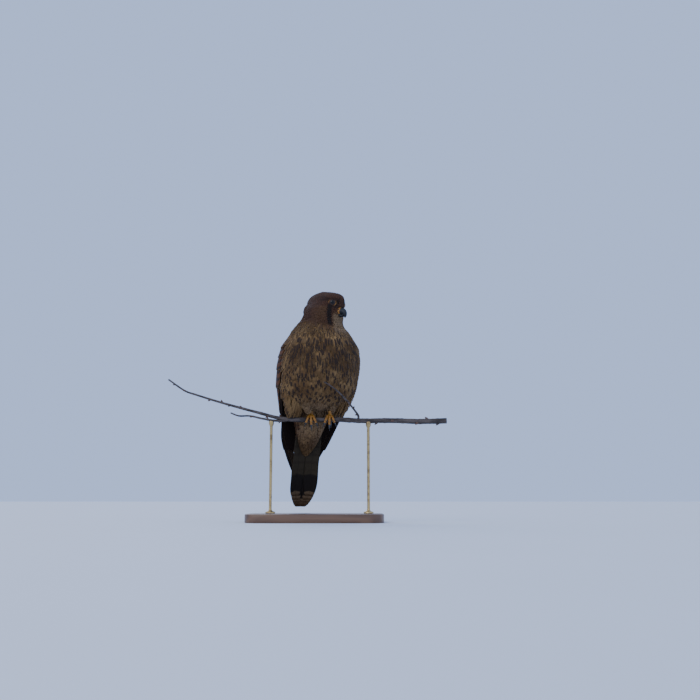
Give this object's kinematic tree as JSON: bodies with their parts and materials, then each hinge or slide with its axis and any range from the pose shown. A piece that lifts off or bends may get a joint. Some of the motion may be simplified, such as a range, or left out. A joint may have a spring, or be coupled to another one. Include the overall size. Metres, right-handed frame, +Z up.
{
  "type": "common kestrel model",
  "caption": "Life-size kestrel perched upright on a cut twig, head turned to its left, long barred tail hanging, held over a flat base by rods.",
  "frame": {"origin": "middle of the underside of the stand base, on the floor", "axes": "+Z up, -Y the side that the bird faces, +X the bird's left and the way that the twig runs"},
  "size_m": [0.3927, 0.1397, 0.3218],
  "materials": {
    "plumage_underparts": "buff feathers with dark brown streaks and spots, dull",
    "plumage_buff": "plain buff feathers, dull",
    "plumage_head": "rufous brown feathers with fine dark streaks, dull",
    "plumage_upperparts": "chestnut brown feathers with dark bars, faint sheen",
    "plumage_tail": "grey buff feathers with dark bars and a broad dark band before a pale tip",
    "yellow_skin": "scaled yellow skin, satin",
    "horn": "blue grey to black horn, smooth and glossy",
    "eye": "dark brown, wet gloss",
    "bark": "dark grey brown bark with small buds, rough",
    "stand_wood": "dark stained wood, satin",
    "stand_brass": "dull aged brass"
  },
  "bodies": {
    "root": {"torso": "plumage_underparts", "undertail_coverts": "plumage_buff", "thigh_left": "plumage_buff", "thigh_right": "plumage_buff", "head": "plumage_head", "neck": "plumage_head", "wing_left": "plumage_upperparts", "wing_right": "plumage_upperparts", "uppertail_coverts": "plumage_upperparts", "tail": "plumage_tail", "cere": "yellow_skin", "foot_left": "yellow_skin", "foot_right": "yellow_skin", "bill_upper": "horn", "bill_lower": "horn", "claw_left_inner": "horn", "claw_left_middle": "horn", "claw_left_outer": "horn", "claw_left_hind": "horn", "claw_right_inner": "horn", "claw_right_middle": "horn", "claw_right_outer": "horn", "claw_right_hind": "horn", "eye_left": "eye", "eye_right": "eye", "perch": "bark", "perch_low_shoot": "bark", "perch_front_shoot": "bark", "stand_base": "stand_wood", "stand_rod_left": "stand_brass", "stand_rod_right": "stand_brass"}
  },
  "joints": []
}
